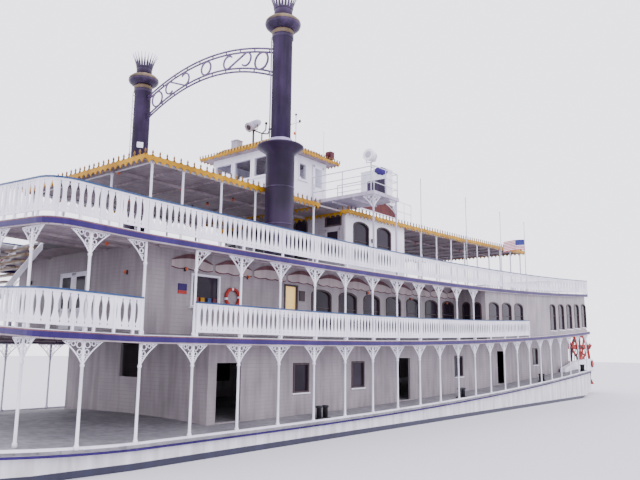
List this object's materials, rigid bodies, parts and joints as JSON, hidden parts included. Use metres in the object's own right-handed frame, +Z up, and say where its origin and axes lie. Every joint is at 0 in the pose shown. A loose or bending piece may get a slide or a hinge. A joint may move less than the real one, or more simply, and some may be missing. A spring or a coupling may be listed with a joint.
{
  "type": "sternwheel paddle boat, 1:2 scale model",
  "caption": "Three-deck sternwheel paddle boat at half size: promenade decks on bracketed columns, pilothouse with bridge wings, twin crowned stacks and a turning stern wheel.",
  "frame": {"origin": "under the middle of the overall length, on the flat of the bottom", "axes": "+X towards the bow, +Y to port, +Z up"},
  "size_m": [28.95, 6.1, 10.155],
  "materials": {
    "hull_white": "satin paint",
    "white_paint": "gloss paint",
    "deck_grey": "matt deck paint",
    "edge_blue": "gloss paint",
    "gold_paint": "satin paint",
    "stack_purple": "satin paint",
    "red_paint": "satin paint",
    "dark_steel": "painted casting",
    "varnished_wood": "varnished boards",
    "flag_cloth": "woven cloth"
  },
  "bodies": {
    "boat": {"bow_stair": "varnished_wood", "bridge": "white_paint", "cabinet": "white_paint", "capstan": "dark_steel", "deck_2": "deck_grey", "deck_3": "deck_grey", "flag": "flag_cloth", "flagstaff": "white_paint", "frame_2_bow": "edge_blue", "frame_2_port": "edge_blue", "frame_2_starboard": "edge_blue", "frame_3_bow": "edge_blue", "frame_3_port": "edge_blue", "frame_3_starboard": "edge_blue", "hull": "hull_white", "main_deck": "deck_grey", "main_house": "white_paint", "pilothouse": "white_paint", "pilothouse_roof": "gold_paint", "posts_aft_port": "white_paint", "posts_aft_starboard": "white_paint", "posts_forward": "white_paint", "rail_2_bow": "white_paint", "rail_2_port": "white_paint", "rail_2_starboard": "white_paint", "rail_3_bow": "white_paint", "rail_3_port": "white_paint", "rail_3_starboard": "white_paint", "rail_3_stern": "white_paint", "roof_aft": "gold_paint", "roof_forward": "gold_paint", "saloon_aft_port": "white_paint", "saloon_aft_starboard": "white_paint", "saloon_front": "white_paint", "saloon_port": "white_paint", "saloon_starboard": "white_paint", "saloon_stern": "white_paint", "sign_board": "red_paint", "stack_arch": "stack_purple", "stack_port": "stack_purple", "stack_starboard": "stack_purple", "texas_back": "white_paint", "texas_front": "white_paint", "texas_port": "white_paint", "texas_starboard": "white_paint", "wheel_beam_port": "white_paint", "wheel_beam_starboard": "white_paint", "wheel_engine": "dark_steel", "wing_rail_port": "white_paint", "wing_rail_starboard": "white_paint"},
    "wheel": {"paddle_wheel": "red_paint"},
    "rudder_port": {"rudder_port": "dark_steel"},
    "rudder_starboard": {"rudder_starboard": "dark_steel"},
    "saloon_door_port": {"saloon_door_port": "varnished_wood"},
    "saloon_door_starboard": {"saloon_door_starboard": "varnished_wood"},
    "texas_door_port": {"texas_door_port": "varnished_wood"},
    "texas_door_starboard": {"texas_door_starboard": "varnished_wood"},
    "pilothouse_door_port": {"pilothouse_door_port": "varnished_wood"},
    "pilothouse_door_starboard": {"pilothouse_door_starboard": "varnished_wood"}
  },
  "joints": [
    {"name": "wheel_turn", "type": "hinge", "parent": "boat", "child": "wheel", "pos_m": [-12.775, 0, 2.2], "axis": [0, 1, 0], "continuous": true},
    {"name": "rudder_port_turn", "type": "hinge", "parent": "boat", "child": "rudder_port", "pos_m": [-9.65, 1.3, 0.5], "axis": [0, 0, 1], "range_deg": [-35, 35]},
    {"name": "rudder_starboard_turn", "type": "hinge", "parent": "boat", "child": "rudder_starboard", "pos_m": [-9.65, -1.3, 0.5], "axis": [0, 0, 1], "range_deg": [-35, 35]},
    {"name": "saloon_door_port_hinge", "type": "hinge", "parent": "boat", "child": "saloon_door_port", "pos_m": [9.782, 0.47, 2.975], "axis": [0, 0, 1], "range_deg": [0, 90]},
    {"name": "saloon_door_starboard_hinge", "type": "hinge", "parent": "boat", "child": "saloon_door_starboard", "pos_m": [9.782, -0.47, 2.975], "axis": [0, 0, -1], "range_deg": [0, 90]},
    {"name": "texas_door_port_hinge", "type": "hinge", "parent": "boat", "child": "texas_door_port", "pos_m": [4.232, 1.465, 4.465], "axis": [0, 0, -1], "range_deg": [0, 90]},
    {"name": "texas_door_starboard_hinge", "type": "hinge", "parent": "boat", "child": "texas_door_starboard", "pos_m": [4.232, -1.465, 4.465], "axis": [0, 0, 1], "range_deg": [0, 90]},
    {"name": "pilothouse_door_port_hinge", "type": "hinge", "parent": "boat", "child": "pilothouse_door_port", "pos_m": [3.805, 1.057, 6.205], "axis": [0, 0, 1], "range_deg": [0, 90]},
    {"name": "pilothouse_door_starboard_hinge", "type": "hinge", "parent": "boat", "child": "pilothouse_door_starboard", "pos_m": [3.805, -1.057, 6.205], "axis": [0, 0, -1], "range_deg": [0, 90]}
  ]
}
